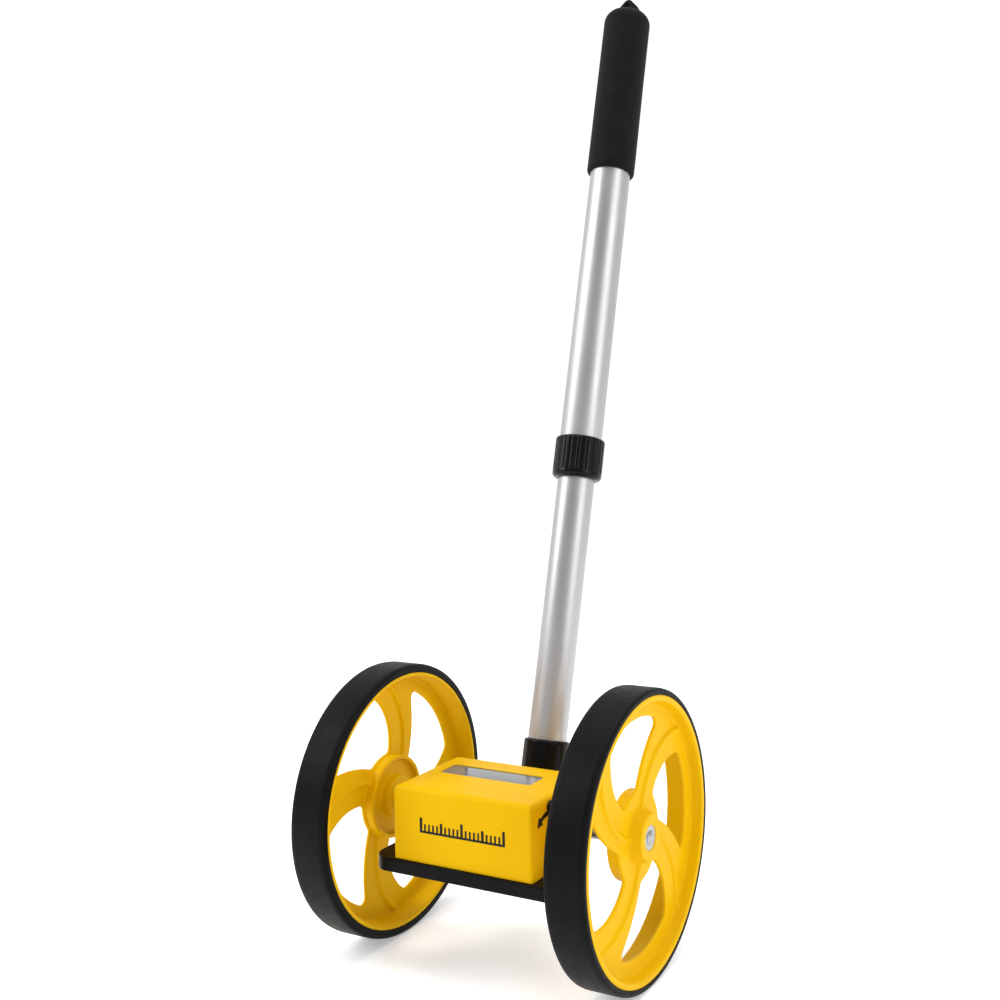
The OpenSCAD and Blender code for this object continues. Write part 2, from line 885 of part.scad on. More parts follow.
// soft foam sleeve with a domed end
module grip() {
    edge = 1.5;
    color("darkslategray") difference() {
        union() {
            handle(grip_bottom) cylinder(r1 = grip_r - edge, r2 = grip_r, h = edge);
            handle(grip_bottom + edge) cylinder(r = grip_r, h = grip_len - edge);
            handle(grip_top) rotate_extrude() intersection() {
                union() {
                    square([grip_r - dome, dome]);
                    translate([grip_r - dome, 0]) circle(dome);
                }
                square([grip_r + 1, dome]);
            }
        }
        handle(grip_bottom - 1) cylinder(r = upper_r, h = upper_top - grip_bottom + 1);
        handle(upper_top - 1) cylinder(r = cap_stem_r, h = 20);
    }
}

// plug in the top of the upper tube, with an eye to hang the wheel by
module hanger_cap() {
    plug_h = 16;
    disc_h = 1.2;
    lug_t = 5;
    lug_r = 3.4;
    lug_base = 3.5;
    disc_at = grip_top + dome;
    color(black) difference() {
        union() {
            handle(upper_top - plug_h) cylinder(r = upper_bore, h = plug_h);
            handle(upper_top) cylinder(r = cap_stem_r, h = disc_at - upper_top);
            handle(disc_at) cylinder(r = cap_r, h = disc_h);
            handle(disc_at + disc_h) translate([0, lug_t / 2, 0]) rotate([90, 0, 0]) linear_extrude(lug_t)
                hull() {
                    translate([-cap_r, 0]) square([2 * cap_r, lug_base]);
                    translate([0, lug_top - lug_r - disc_at - disc_h]) circle(lug_r, $fn = 32);
                }
        }
        handle(eye) rotate([90, 0, 0]) cylinder(r = eye_r, h = 20, center = true);
    }
}

base_plate();
counter_cover();
window_lens();
counter_mask();
counter_frame();
axle_bush_left();
axle_bush_right();
transfer_shaft();
cover_screw_1();
cover_screw_2();
cover_screw_3();
cover_screw_4();
frame_screw_1();
frame_screw_2();
handle_socket();
socket_screw_1();
socket_screw_2();
socket_screw_3();
socket_screw_4();
lower_tube();
socket_bolt();
socket_nut();
guide_plug();
reset_spring();
reset_arrow();
axle();
right_wheel();
right_tyre();
axle_gear();
right_spacer();
left_spacer();
right_end_screw();
left_end_screw();
right_washer();
left_washer();
left_wheel();
left_tyre();
left_hub_bush();
idler_arbor();
units_arbor();
counter_drum_1();
counter_drum_2();
counter_drum_3();
counter_drum_4();
counter_drum_5();
transfer_pinion_1();
transfer_pinion_2();
transfer_pinion_3();
transfer_pinion_4();
reset_lever();
reset_rake();
upper_tube();
lock_seat();
lock_collet();
lock_nut();
grip();
hanger_cap();
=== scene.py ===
"""Looks of the measuring wheel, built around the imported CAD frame.

Metres; the lengths in the constants are millimetres.
"""

import json
import math

import bmesh
import bpy
from mathutils import Matrix, Vector, noise


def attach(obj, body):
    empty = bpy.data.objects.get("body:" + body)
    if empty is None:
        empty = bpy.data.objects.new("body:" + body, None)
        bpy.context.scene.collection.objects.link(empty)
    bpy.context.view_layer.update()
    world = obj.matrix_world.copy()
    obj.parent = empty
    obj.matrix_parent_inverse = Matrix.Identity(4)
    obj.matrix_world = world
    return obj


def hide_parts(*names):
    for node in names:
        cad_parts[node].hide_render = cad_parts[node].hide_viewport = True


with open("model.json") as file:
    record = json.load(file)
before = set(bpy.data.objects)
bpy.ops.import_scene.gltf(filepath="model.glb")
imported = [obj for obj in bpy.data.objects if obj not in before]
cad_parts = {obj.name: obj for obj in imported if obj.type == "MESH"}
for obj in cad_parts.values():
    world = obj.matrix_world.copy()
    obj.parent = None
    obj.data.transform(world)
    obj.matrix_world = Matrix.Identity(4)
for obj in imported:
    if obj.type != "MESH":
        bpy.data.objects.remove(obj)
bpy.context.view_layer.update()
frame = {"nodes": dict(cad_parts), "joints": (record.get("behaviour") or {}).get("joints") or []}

MM = 0.001
JOINTS = {joint["name"]: joint for joint in frame["joints"]}

# the same driving sizes as the CAD, in millimetres
TYRE_W = 23.2
TYRE_T = 3.7
RIM_BEAD = 1.3
WHEEL_X = 81.25
COVER_W = 90.5
COVER_X = -0.8
COVER_FRONT = -46.2
COVER_BACK = 18.5
COVER_TOP = 23.8
COVER_WALL = 2.2
COVER_ROUND = 3.4
BASE_TOP = -17
WINDOW = (-5.6, -6.2, 61, 16.4)
RESET_AT = (-25, 0)
DRUM_R = 7.5
DRUM_PITCH = 10
DRUM_COUNT = 5
LOWER_R = 12
UPPER_R = 13.84
UPPER_BORE = 12.3
NUT_BOTTOM = 195.3
NUT_H = 27.2
NUT_R = 16.12
SEAT_R = 14.9
GRIP_BOTTOM = 412.6
GRIP_LEN = 118.4
GRIP_R = 16.6
DOME = 8.6
TWIST_ALONG = 208

# the look's own sizes, in millimetres
COVER_CORNER = 1.8
LEVER_BORE_R = 2.4
AXLE_BORE_R = 5.2
DIGIT_H = 3.9

axle = Vector(JOINTS["axle_spin"]["pos_m"])
AXLE_Z = axle.z / MM
WHEEL_R = AXLE_Z

lean_axis = Vector(JOINTS["handle_slide"]["axis"]).normalized()
handle_foot = Vector(JOINTS["lock_twist"]["pos_m"]) - lean_axis * TWIST_ALONG * MM
lean = math.atan2(lean_axis.y, lean_axis.z)
HANDLE = Matrix.Translation(handle_foot) @ Matrix.Rotation(-lean, 4, "X")


# ---- mesh helpers --------------------------------------------------------

def add_mesh(name, mesh):
    obj = bpy.data.objects.new(name, mesh)
    bpy.context.scene.collection.objects.link(obj)
    return obj


def from_bmesh(name, bm):
    bmesh.ops.recalc_face_normals(bm, faces=bm.faces)
    mesh = bpy.data.meshes.new(name)
    bm.to_mesh(mesh)
    bm.free()
    return add_mesh(name, mesh)


def bake(obj):
    """Applies the object's modifiers to its mesh."""
    graph = bpy.context.evaluated_depsgraph_get()
    graph.update()
    mesh = bpy.data.meshes.new_from_object(obj.evaluated_get(graph))
    old = obj.data
    obj.modifiers.clear()
    obj.data = mesh
    bpy.data.meshes.remove(old)


def shade(obj, angle=35):
    """Smooth shading, with edges sharper than angle kept sharp."""
    bm = bmesh.new()
    bm.from_mesh(obj.data)
    limit = math.radians(angle)
    for face in bm.faces:
        face.smooth = True
    for edge in bm.edges:
        edge.smooth = len(edge.link_faces) == 2 and edge.calc_face_angle(0) < limit
    bm.to_mesh(obj.data)
    bm.free()


def finish_piece(obj, body, slot_name, material, *nodes):
    obj.data.materials.clear()
    obj.data.materials.append(material)
    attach(obj, body)
    if nodes:
        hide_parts(*nodes)
    return obj


def rounded_profile(points, steps=5):
    """Closed outline of (r, s, rounding) points, each corner turned into an arc of that radius."""
    out = []
    count = len(points)
    for i, (r, s, rounding) in enumerate(points):
        here = Vector((r, s))
        before = Vector(points[i - 1][:2])
        after = Vector(points[(i + 1) % count][:2])
        if rounding <= 0:
            out.append((r, s))
            continue
        to_before = (before - here).normalized()
        to_after = (after - here).normalized()
        half = to_before.angle(to_after) / 2
        reach = min(rounding / math.tan(half), (before - here).length * 0.49, (after - here).length * 0.49)
        start = here + to_before * reach
        end = here + to_after * reach
        for k in range(steps + 1):
            t = k / steps
            point = start * (1 - t) ** 2 + here * 2 * t * (1 - t) + end * t ** 2
            out.append((point.x, point.y))
    return out


def lathe(name, profile, place, segments=128, shift=None):
    """Solid of revolution of a closed (r, s) outline in millimetres, about the Z axis of place."""
    bm = bmesh.new()
    rings = []
    for k in range(segments):
        turn = 2 * math.pi * k / segments
        ring = []
        for r, s in profile:
            if shift:
                r, s = shift(r, s, turn)
            point = Vector((r * math.cos(turn) * MM, r * math.sin(turn) * MM, s * MM))
            ring.append(bm.verts.new(place @ point))
        rings.append(ring)
    for k in range(segments):
        a, b = rings[k], rings[(k + 1) % segments]
        for i in range(len(profile)):
            j = (i + 1) % len(profile)
            bm.faces.new((a[i], b[i], b[j], a[j]))
    bmesh.ops.remove_doubles(bm, verts=bm.verts, dist=1e-7)
    return from_bmesh(name, bm)


def outline_ring(w, d, radius, corner_steps):
    """Points of a rounded rectangle about the origin, counter-clockwise."""
    points = []
    for quarter, (sx, sy) in enumerate(((1, 1), (-1, 1), (-1, -1), (1, -1))):
        centre = Vector((sx * (w / 2 - radius), sy * (d / 2 - radius)))
        for k in range(corner_steps + 1):
            turn = math.pi / 2 * (quarter + k / corner_steps)
            points.append(centre + radius * Vector((math.cos(turn), math.sin(turn))))
    return points


def loft(name, centre, w, d, radius, section, corner_steps=8):
    """Closed solid: a rounded rectangle swept through section = [(inset, height)], capped at both ends."""
    bm = bmesh.new()
    rings = []
    for inset, height in section:
        r = max(radius - inset, 0.3)
        ring = outline_ring(w - 2 * inset, d - 2 * inset, r, corner_steps)
        rings.append([bm.verts.new(((p.x + centre[0]) * MM, (p.y + centre[1]) * MM, (height + AXLE_Z) * MM))
                      for p in ring])
    for a, b in zip(rings, rings[1:]):
        for i in range(len(a)):
            j = (i + 1) % len(a)
            bm.faces.new((a[i], a[j], b[j], b[i]))
    bm.faces.new(rings[0])
    bm.faces.new(rings[-1])
    return from_bmesh(name, bm)


def arc_section(inset, height, radius, start, end, steps=6):
    """Arc of a section about (inset, height), in degrees: 0 is straight out, 90 is up."""
    out = []
    for k in range(steps + 1):
        turn = math.radians(start + (end - start) * k / steps)
        out.append((inset - radius * math.cos(turn), height + radius * math.sin(turn)))
    return out


def cut(obj, *cutters):
    for cutter in cutters:
        change = obj.modifiers.new("cut", "BOOLEAN")
        change.operation = "DIFFERENCE"
        change.solver = "EXACT"
        change.object = cutter
    bake(obj)
    for cutter in cutters:
        bpy.data.objects.remove(cutter)


def rod_x(name, y, z, x, length, r):
    """Plain bar along X, used for cutting; y and z from the axle."""
    start = Vector((x * MM, y * MM, (z + AXLE_Z) * MM))
    place = Matrix.Translation(start) @ Matrix.Rotation(math.pi / 2, 4, "Y")
    return lathe(name, [(0, 0), (r, 0), (r, length), (0, length)], place, 64)


def moulded(name, node, voxel, steps, ratio=None):
    """The CAD node's own solid with its edges and inside corners softened like a moulding's."""
    obj = add_mesh(name, frame["nodes"][node].data.copy())
    weld = obj.modifiers.new("weld", "WELD")
    weld.merge_threshold = 1e-6
    remesh = obj.modifiers.new("remesh", "REMESH")
    remesh.mode = "VOXEL"
    remesh.voxel_size = voxel * MM
    smooth = obj.modifiers.new("smooth", "SMOOTH")
    smooth.factor = 0.5
    smooth.iterations = steps
    if ratio:
        thin = obj.modifiers.new("thin", "DECIMATE")
        thin.ratio = ratio
    bake(obj)
    for polygon in obj.data.polygons:
        polygon.use_smooth = True
    return obj


# ---- materials -----------------------------------------------------------

class Nodes:
    """Small wrapper that adds and links shader nodes."""

    def __init__(self, name):
        self.material = bpy.data.materials.new(name)
        self.material.use_nodes = True
        self.tree = self.material.node_tree
        self.shader = self.tree.nodes["Principled BSDF"]

    def add(self, kind, **inputs):
        node = self.tree.nodes.new("ShaderNode" + kind)
        for key, value in inputs.items():
            node.inputs[key.replace("_", " ")].default_value = value
        return node

    def link(self, out, into):
        self.tree.links.new(out, into)

    def noise(self, scale, detail=3, stretch=None, turn=(0, 0, 0), rough=0.5):
        coords = self.add("TexCoord")
        mapping = self.add("Mapping")
        mapping.inputs["Scale"].default_value = stretch or (1, 1, 1)
        mapping.inputs["Rotation"].default_value = turn
        self.link(coords.outputs["Object"], mapping.inputs["Vector"])
        node = self.add("TexNoise", Scale=scale, Detail=detail, Roughness=rough)
        self.link(mapping.outputs["Vector"], node.inputs["Vector"])
        return node.outputs["Fac"]

    def ramp(self, value, low, high, to_low=0.0, to_high=1.0):
        node = self.add("MapRange")
        node.inputs["From Min"].default_value = low
        node.inputs["From Max"].default_value = high
        node.inputs["To Min"].default_value = to_low
        node.inputs["To Max"].default_value = to_high
        self.link(value, node.inputs["Value"])
        return node.outputs["Result"]

    def mix(self, factor, a, b):
        node = self.tree.nodes.new("ShaderNodeMix")
        node.data_type = "RGBA"
        for socket, value in (("A", a), ("B", b)):
            target = next(s for s in node.inputs if s.name == socket and s.type == "RGBA")
            if hasattr(value, "is_output"):
                self.link(value, target)
            else:
                target.default_value = (*value, 1)
        factor_in = next(s for s in node.inputs if s.name == "Factor" and s.type == "VALUE")
        self.link(factor, factor_in)
        return next(s for s in node.outputs if s.type == "RGBA")

    def bump(self, height, strength, distance, before=None):
        node = self.add("Bump", Strength=strength, Distance=distance * MM)
        self.link(height, node.inputs["Height"])
        if before is not None:
            self.link(before, node.inputs["Normal"])
        return node.outputs["Normal"]


def set_shader(nodes, **inputs):
    for key, value in inputs.items():
        socket = nodes.shader.inputs[key.replace("_", " ")]
        if hasattr(value, "is_output"):
            nodes.link(value, socket)
        elif hasattr(value, "__len__"):
            socket.default_value = (*value, 1)
        else:
            socket.default_value = value
    return nodes.material


def plastic(name, colour, dark, rough, grain=0.10, specular=0.5):
    """Moulded plastic: faint flow marks in the colour, uneven gloss, fine grain and a few hair scratches."""
    n = Nodes(name)
    base = n.mix(n.ramp(n.noise(38, 4), 0.35, 0.7), colour, dark)
    gloss = n.ramp(n.noise(160, 5, rough=0.6), 0.3, 0.7, rough - 0.05, rough + 0.07)
    fine = n.bump(n.noise(1500, 2), grain, 0.05)
    hair = n.noise(90, 6, stretch=(1, 14, 3), turn=(0.4, 0.2, 0.7), rough=0.75)
    normal = n.bump(n.ramp(hair, 0.62, 0.66), grain * 0.35, 0.03, fine)
    return set_shader(n, Base_Color=base, Roughness=gloss, Normal=normal, IOR=1.48,
                      Specular_IOR_Level=specular)


def rubber(name):
    """Tyre rubber: satin black with a fine skin, dull bloom and a few scuffs across the tread."""
    n = Nodes(name)
    bloom = n.ramp(n.noise(55, 5, rough=0.65), 0.4, 0.75)
    base = n.mix(bloom, (0.0022, 0.0022, 0.0025), (0.0045, 0.0045, 0.0050))
    scuff = n.ramp(n.noise(30, 8, stretch=(6, 1, 1), rough=0.8), 0.64, 0.72)
    base = n.mix(scuff, base, (0.009, 0.009, 0.010))
    gloss = n.ramp(n.noise(120, 5, rough=0.6), 0.3, 0.75, 0.42, 0.56)
    skin = n.bump(n.noise(2600, 3), 0.22, 0.06)
    normal = n.bump(n.noise(260, 4), 0.10, 0.10, skin)
    return set_shader(n, Base_Color=base, Roughness=gloss, Normal=normal, IOR=1.5, Specular_IOR_Level=0.08)


def foam(name):
    """Closed-cell foam: matt, with open pores darkened by painted shade, and a slight nap."""
    n = Nodes(name)
    coords = n.add("TexCoord")
    cells = n.tree.nodes.new("ShaderNodeTexVoronoi")
    cells.inputs["Scale"].default_value = 1500
    n.link(coords.outputs["Object"], cells.inputs["Vector"])
    pore_depth_and_shade = n.ramp(cells.outputs["Distance"], 0.05, 0.55)
    # painted shade: the base colour is darker at the pore centres, where the bump below sinks the surface in
    base = n.mix(pore_depth_and_shade, (0.0025, 0.0025, 0.0028), (0.0060, 0.0060, 0.0066))
    base = n.mix(n.ramp(n.noise(70, 5, rough=0.7), 0.5, 0.8), base, (0.009, 0.009, 0.0096))
    normal = n.bump(pore_depth_and_shade, 0.30, 0.12)
    normal = n.bump(n.noise(420, 5, rough=0.7), 0.22, 0.20, normal)
    return set_shader(n, Base_Color=base, Roughness=0.82, Normal=normal, Sheen_Weight=0.04,
                      Sheen_Roughness=0.5, Specular_IOR_Level=0.08)


def brushed_metal(name, colour, rough, turn=(0, 0, 0), stretch=(1, 1, 0.02), fine=2400, depth=0.05):
    """Metal with fine lines drawn along its length, and patches of slightly different gloss."""
    n = Nodes(name)
    lines = n.noise(fine, 4, stretch=stretch, turn=turn, rough=0.6)
    patches = n.noise(46, 4, stretch=(1, 1, 0.3), turn=turn)
    darker = tuple(c * 0.90 for c in colour)
    base = n.mix(n.ramp(lines, 0.35, 0.7), colour, darker)
    gloss = n.ramp(patches, 0.3, 0.7, rough - 0.04, rough + 0.05)
    normal = n.bump(lines, depth, 0.03)
    return set_shader(n, Base_Color=base, Metallic=1.0, Roughness=gloss, Normal=normal)


def cast_steel(name, colour, rough):
    """Plated steel: slightly mottled and uneven in gloss."""
    n = Nodes(name)
    base = n.mix(n.ramp(n.noise(700, 5, rough=0.7), 0.4, 0.7), colour, tuple(c * 0.72 for c in colour))
    gloss = n.ramp(n.noise(400, 4), 0.3, 0.7, rough - 0.06, rough + 0.08)
    normal = n.bump(n.noise(1800, 3), 0.12, 0.04)
    return set_shader(n, Base_Color=base, Metallic=1.0, Roughness=gloss, Normal=normal)


def clear_lens(name):
    """Window plastic: grey, and only partly see-through."""
    n = Nodes(name)
    gloss = n.ramp(n.noise(240, 5), 0.3, 0.7, 0.03, 0.10)
    normal = n.bump(n.noise(120, 2), 0.04, 0.05)
    return set_shader(n, Base_Color=(0.30, 0.31, 0.32), Roughness=gloss, Transmission_Weight=0.45,
                      IOR=1.5, Normal=normal)


YELLOW = plastic("yellow_plastic", (0.740, 0.435, 0.0003), (0.715, 0.410, 0.0002), 0.40, 0.06,
                 specular=0.05)
GLOSS_BLACK = plastic("black_plastic", (0.0030, 0.0030, 0.0033), (0.0045, 0.0045, 0.0048), 0.20, 0.04,
                      specular=0.14)
SATIN_BLACK = plastic("satin_black_plastic", (0.0025, 0.0025, 0.0028), (0.0040, 0.0040, 0.0043), 0.34,
                      0.08, specular=0.08)
TYRE = rubber("tyre_rubber")
FOAM = foam("grip_foam")
ALLOY = brushed_metal("tube_alloy", (0.49, 0.49, 0.50), 0.44, turn=(lean, 0, 0))
STEEL = cast_steel("zinc_steel", (0.42, 0.42, 0.43), 0.30)
SHEET_STEEL = brushed_metal("sheet_steel", (0.50, 0.51, 0.52), 0.38, stretch=(1, 0.03, 1))
ACETAL = plastic("acetal", (0.76, 0.74, 0.68), (0.70, 0.68, 0.61), 0.40, 0.08)
DRUM_BLACK = plastic("drum_black", (0.012, 0.012, 0.013), (0.020, 0.020, 0.021), 0.42, 0.08)
PRINT_WHITE = plastic("print_white", (0.80, 0.80, 0.78), (0.74, 0.74, 0.72), 0.50, 0.05)
PRINT_BLACK = plastic("print_black", (0.004, 0.004, 0.004), (0.007, 0.007, 0.007), 0.45, 0.05, specular=0.2)
LENS = clear_lens("clear_lens")


# ---- wheels --------------------------------------------------------------

def wheel_place(side):
    """Frame of a wheel: Z from its outer face inwards, both wheels turned the same way round outwards."""
    x = side * (WHEEL_X + TYRE_W / 2) * MM
    return Matrix.Translation(Vector((x, 0, axle.z))) @ Matrix.Rotation(-side * math.pi / 2, 4, "Y")


def build_tyre(side, body, node):
    rim = WHEEL_R - TYRE_T
    tread = [
        (rim, 0, 0.15), (WHEEL_R - 1.7, 0, 0.5), (WHEEL_R - 0.35, 1.0, 0.8), (WHEEL_R, 3.0, 2.0),
        (WHEEL_R, TYRE_W - 3.0, 2.0), (WHEEL_R - 0.35, TYRE_W - 1.0, 0.8), (WHEEL_R - 1.7, TYRE_W, 0.5),
        (rim - RIM_BEAD, TYRE_W, 0.3), (rim - RIM_BEAD, TYRE_W - 1.8, 0), (rim, TYRE_W - 1.8, 0)]
    obj = lathe(node + "_look", rounded_profile(tread), wheel_place(side), 256)
    shade(obj)
    return finish_piece(obj, body, "tyre_rubber", TYRE, node)


def build_wheel(side, body, node):
    obj = moulded(node + "_look", node, 0.6, 2)
    return finish_piece(obj, body, "yellow_plastic", YELLOW, node)


for wheel_side, wheel_body in ((1, "drive"), (-1, "left_wheel")):
    side_name = "right" if wheel_side > 0 else "left"
    build_tyre(wheel_side, wheel_body, side_name + "_tyre")
    build_wheel(wheel_side, wheel_body, side_name + "_wheel")


# ---- housing -------------------------------------------------------------

def build_base():
    """Stepped base with its edges just broken."""
    obj = moulded("base_look", "base_plate", 0.5, 2, 0.5)
    shade(obj, 40)
    return finish_piece(obj, "chassis", "black_plastic", SATIN_BLACK, "base_plate")


def build_cover():
    """Hollow cover with a rounded top edge, its window opening, and the axle's and the lever's bores."""
    middle = (COVER_X, (COVER_FRONT + COVER_BACK) / 2)
    inner_top = COVER_TOP - COVER_WALL
    inner = [(COVER_WALL + 1, inner_top), (COVER_WALL, inner_top - 1), (COVER_WALL, BASE_TOP + 0.2),
             (COVER_WALL - 0.2, BASE_TOP), (0.25, BASE_TOP), (0, BASE_TOP + 0.25)]
    side = [(0, BASE_TOP + (COVER_TOP - COVER_ROUND - BASE_TOP) * k / 6) for k in range(1, 6)]
    top_edge = arc_section(COVER_ROUND, COVER_TOP - COVER_ROUND, COVER_ROUND, 0, 90, 10)
    section = inner + side + top_edge + [(COVER_ROUND + 5, COVER_TOP)]
    obj = loft("cover_look", middle, COVER_W, COVER_BACK - COVER_FRONT, COVER_CORNER, section, 10)
    x, y, w, depth = WINDOW
    opening = loft("opening", (x, y), w - 3, depth - 3, 1.2, [(0, 0), (0, 40)], 4)
    recess = loft("recess", (x, y), w + 0.3, depth + 0.3, 2.1, [(0, COVER_TOP - 1.5), (0, 40)], 6)
    bore = rod_x("bore", 0, 0, -60, 120, AXLE_BORE_R)
    lever_bore = rod_x("lever_bore", RESET_AT[0], RESET_AT[1], 30, 40, LEVER_BORE_R)
    cut(obj, opening, recess, bore, lever_bore)
    shade(obj, 30)
    return finish_piece(obj, "chassis", "yellow_plastic", YELLOW, "counter_cover")


def build_lens():
    x, y, w, depth = WINDOW
    top = COVER_TOP - 0.3
    edge = 0.35
    section = [(0.6, top - 1.2), (0.0, top - 1.1), (0.0, top - edge)]
    section += arc_section(edge, top - edge, edge, 0, 90, 4)
    obj = loft("lens_look", (x, y), w, depth, 2.0, section, 6)
    shade(obj, 40)
    return finish_piece(obj, "chassis", "lens", LENS, "window_lens")


build_base()
build_cover()
build_lens()


def build_scale_mark():
    """Printed ruler marks in the middle of the cover's front face."""
    bm = bmesh.new()
    y = COVER_FRONT
    ticks = 21
    pitch = 2.7
    width = pitch * (ticks - 1)
    base = 1.2

    def bar(x0, x1, z0, z1):
        corners = []
        for depth in (0.12, -0.5):
            for x, z in ((x0, z0), (x1, z0), (x1, z1), (x0, z1)):
                corners.append(bm.verts.new((x * MM, (y - depth) * MM, (z + AXLE_Z) * MM)))
        front, back = corners[:4], corners[4:]
        bm.faces.new(front)
        bm.faces.new(back[::-1])
        for i in range(4):
            j = (i + 1) % 4
            bm.faces.new((front[j], front[i], back[i], back[j]))

    bar(-width / 2 - 0.8, width / 2 + 0.8, base - 1.2, base)
    for i in range(ticks):
        height = 7.0 if i % 10 == 0 else 5.4 if i % 5 == 0 else 3.8
        x = -width / 2 + i * pitch
        half = 0.8 if i % 5 == 0 else 0.55
        bar(x - half, x + half, base - 0.01, base + height)
    obj = from_bmesh("scale_mark", bm)
    return finish_piece(obj, "chassis", "print_black", PRINT_BLACK)


build_scale_mark()


# ---- counter digits ------------------------------------------------------

def glyph_mesh(text):
    """Flat mesh of one digit, centred, with its height along Y."""
    curve = bpy.data.curves.new("glyph", "FONT")
    curve.body = text
    curve.size = 1
    curve.resolution_u = 4
    curve.extrude = 0.02
    holder = bpy.data.objects.new("glyph", curve)
    bpy.context.scene.collection.objects.link(holder)
    graph = bpy.context.evaluated_depsgraph_get()
    graph.update()
    mesh = bpy.data.meshes.new_from_object(holder.evaluated_get(graph))
    bpy.data.objects.remove(holder)
    bpy.data.curves.remove(curve)
    return mesh


def build_digits():
    """Ten raised digits round each drum; higher digits come up as the wheel rolls forwards."""
    centre = Vector(JOINTS["units_spin"]["pos_m"])
    meshes = [glyph_mesh(str(digit)) for digit in range(10)]
    for drum in range(DRUM_COUNT):
        x = (WINDOW[0] + (drum - (DRUM_COUNT - 1) / 2) * DRUM_PITCH + 1.1) * MM
        bm = bmesh.new()
        for digit, mesh in enumerate(meshes):
            part = bmesh.new()
            part.from_mesh(mesh)
            low = Vector(min(v.co[i] for v in part.verts) for i in range(3))
            high = Vector(max(v.co[i] for v in part.verts) for i in range(3))
            size = DIGIT_H / (high.y - low.y)
            for vert in part.verts:
                vert.co = Vector(((vert.co.x - (low.x + high.x) / 2) * size,
                                  (vert.co.y - (low.y + high.y) / 2) * size, vert.co.z))
            cuts = 12
            for k in range(1, cuts):
                level = -DIGIT_H / 2 + DIGIT_H * k / cuts
                bmesh.ops.bisect_plane(part, geom=part.verts[:] + part.edges[:] + part.faces[:],
                                       plane_co=(0, level, 0), plane_no=(0, 1, 0))
            for vert in part.verts:
                turn = math.radians(-36 * digit) + vert.co.y / DRUM_R
                radius = (DRUM_R + (0.05 if vert.co.z > 0 else -0.05)) * MM
                vert.co = Vector((x - vert.co.x * MM, centre.y - radius * math.sin(turn),
                                  centre.z + radius * math.cos(turn)))
            joined = bpy.data.meshes.new("joined")
            part.to_mesh(joined)
            part.free()
            bm.from_mesh(joined)
            bpy.data.meshes.remove(joined)
        obj = from_bmesh(f"digits_{drum + 1}", bm)
        body = "units" if drum == 0 else f"drum_{drum + 1}"
        finish_piece(obj, body, "drum_black", PRINT_WHITE)
    for mesh in meshes:
        bpy.data.meshes.remove(mesh)


build_digits()


# ---- handle --------------------------------------------------------------

def hollow(name, body, slot_name, material, node, r, bore, start, end):
    """Tube on the handle's axis with its cut ends just broken."""
    edge = 0.3
    outline = [(bore, start, 0.15), (r, start, edge), (r, end, edge), (bore, end, 0.15)]
    obj = lathe(name, rounded_profile(outline, 3), HANDLE, 192)
    shade(obj)
    return finish_piece(obj, body, slot_name, material, node)


def build_lock_nut():
    """Collar with rounded flutes that run out of its top edge."""
    flutes = 28
    top = NUT_BOTTOM + NUT_H
    flute_low = NUT_BOTTOM + 6.2
    flute_depth = 0.42
    flute_share = 0.50
    fade = 1.8
    low = 3.1
    high = 1.8

    def fluted(r, s, turn):
        if r < NUT_R - 1.6 or s < flute_low - fade:
            return r, s
        across = abs((turn * flutes / (2 * math.pi)) % 1 - 0.5) * 2
        groove = max(0.0, 1 - (across / flute_share) ** 2)
        past = max(flute_low - s, 0) / fade
        return r - flute_depth * math.sqrt(groove) * math.sqrt(max(0.0, 1 - past ** 2)), s

    low_corner = [(NUT_R - low + low * math.sin(math.radians(a)),
                   NUT_BOTTOM + low - low * math.cos(math.radians(a))) for a in range(0, 91, 10)]
    side = [(NUT_R, flute_low - fade + k * fade / 6) for k in range(6)]
    side += [(NUT_R, flute_low + k * (top - high - flute_low) / 10) for k in range(10)]
    high_corner = [(NUT_R - high + high * math.cos(math.radians(a)),
                    top - high + high * math.sin(math.radians(a))) for a in range(0, 91, 10)]
    inner = [(UPPER_R + 0.3, top), (UPPER_R + 0.3, top - 2.4), (SEAT_R + 0.05, top - 2.4),
             (SEAT_R + 0.05, NUT_BOTTOM + 2.6), (LOWER_R + 0.4, NUT_BOTTOM + 2.6),
             (LOWER_R + 0.4, NUT_BOTTOM)]
    obj = lathe("lock_nut_look", low_corner + side + high_corner + inner, HANDLE, flutes * 14, fluted)
    shade(obj, 50)
    return finish_piece(obj, "lock_nut", "black_plastic", GLOSS_BLACK, "lock_nut")


def build_grip():
    """Foam sleeve: slightly uneven sides and a soft domed end."""
    end = GRIP_BOTTOM + GRIP_LEN
    top = end + DOME
    outline = [(UPPER_R, GRIP_BOTTOM)]
    low = 2.2
    outline += [(GRIP_R - low + low * math.sin(math.radians(a)),
                 GRIP_BOTTOM + low - low * math.cos(math.radians(a))) for a in range(0, 91, 15)]
    outline += [(GRIP_R, GRIP_BOTTOM + low + (GRIP_LEN - low) * k / 50) for k in range(1, 50)]
    outline += [(GRIP_R - DOME + DOME * math.cos(math.radians(a)),
                 end + DOME * math.sin(math.radians(a))) for a in range(0, 91, 6)]
    outline += [(4, top), (4, end + 5), (UPPER_R, end + 5)]

    def uneven(r, s, turn):
        if r < UPPER_R + 0.5:
            return r, s
        spot = Vector((math.cos(turn) * 0.9, math.sin(turn) * 0.9, s * 0.045))
        ripple = noise.noise(spot) * 0.16 + noise.noise(spot * 5) * 0.05
        return r - 0.12 + ripple * min(1, (r - UPPER_R) / 3), s

    obj = lathe("grip_look", outline, HANDLE, 128, uneven)
    shade(obj, 50)
    finish_piece(obj, "upper_handle", "foam", FOAM, "grip")


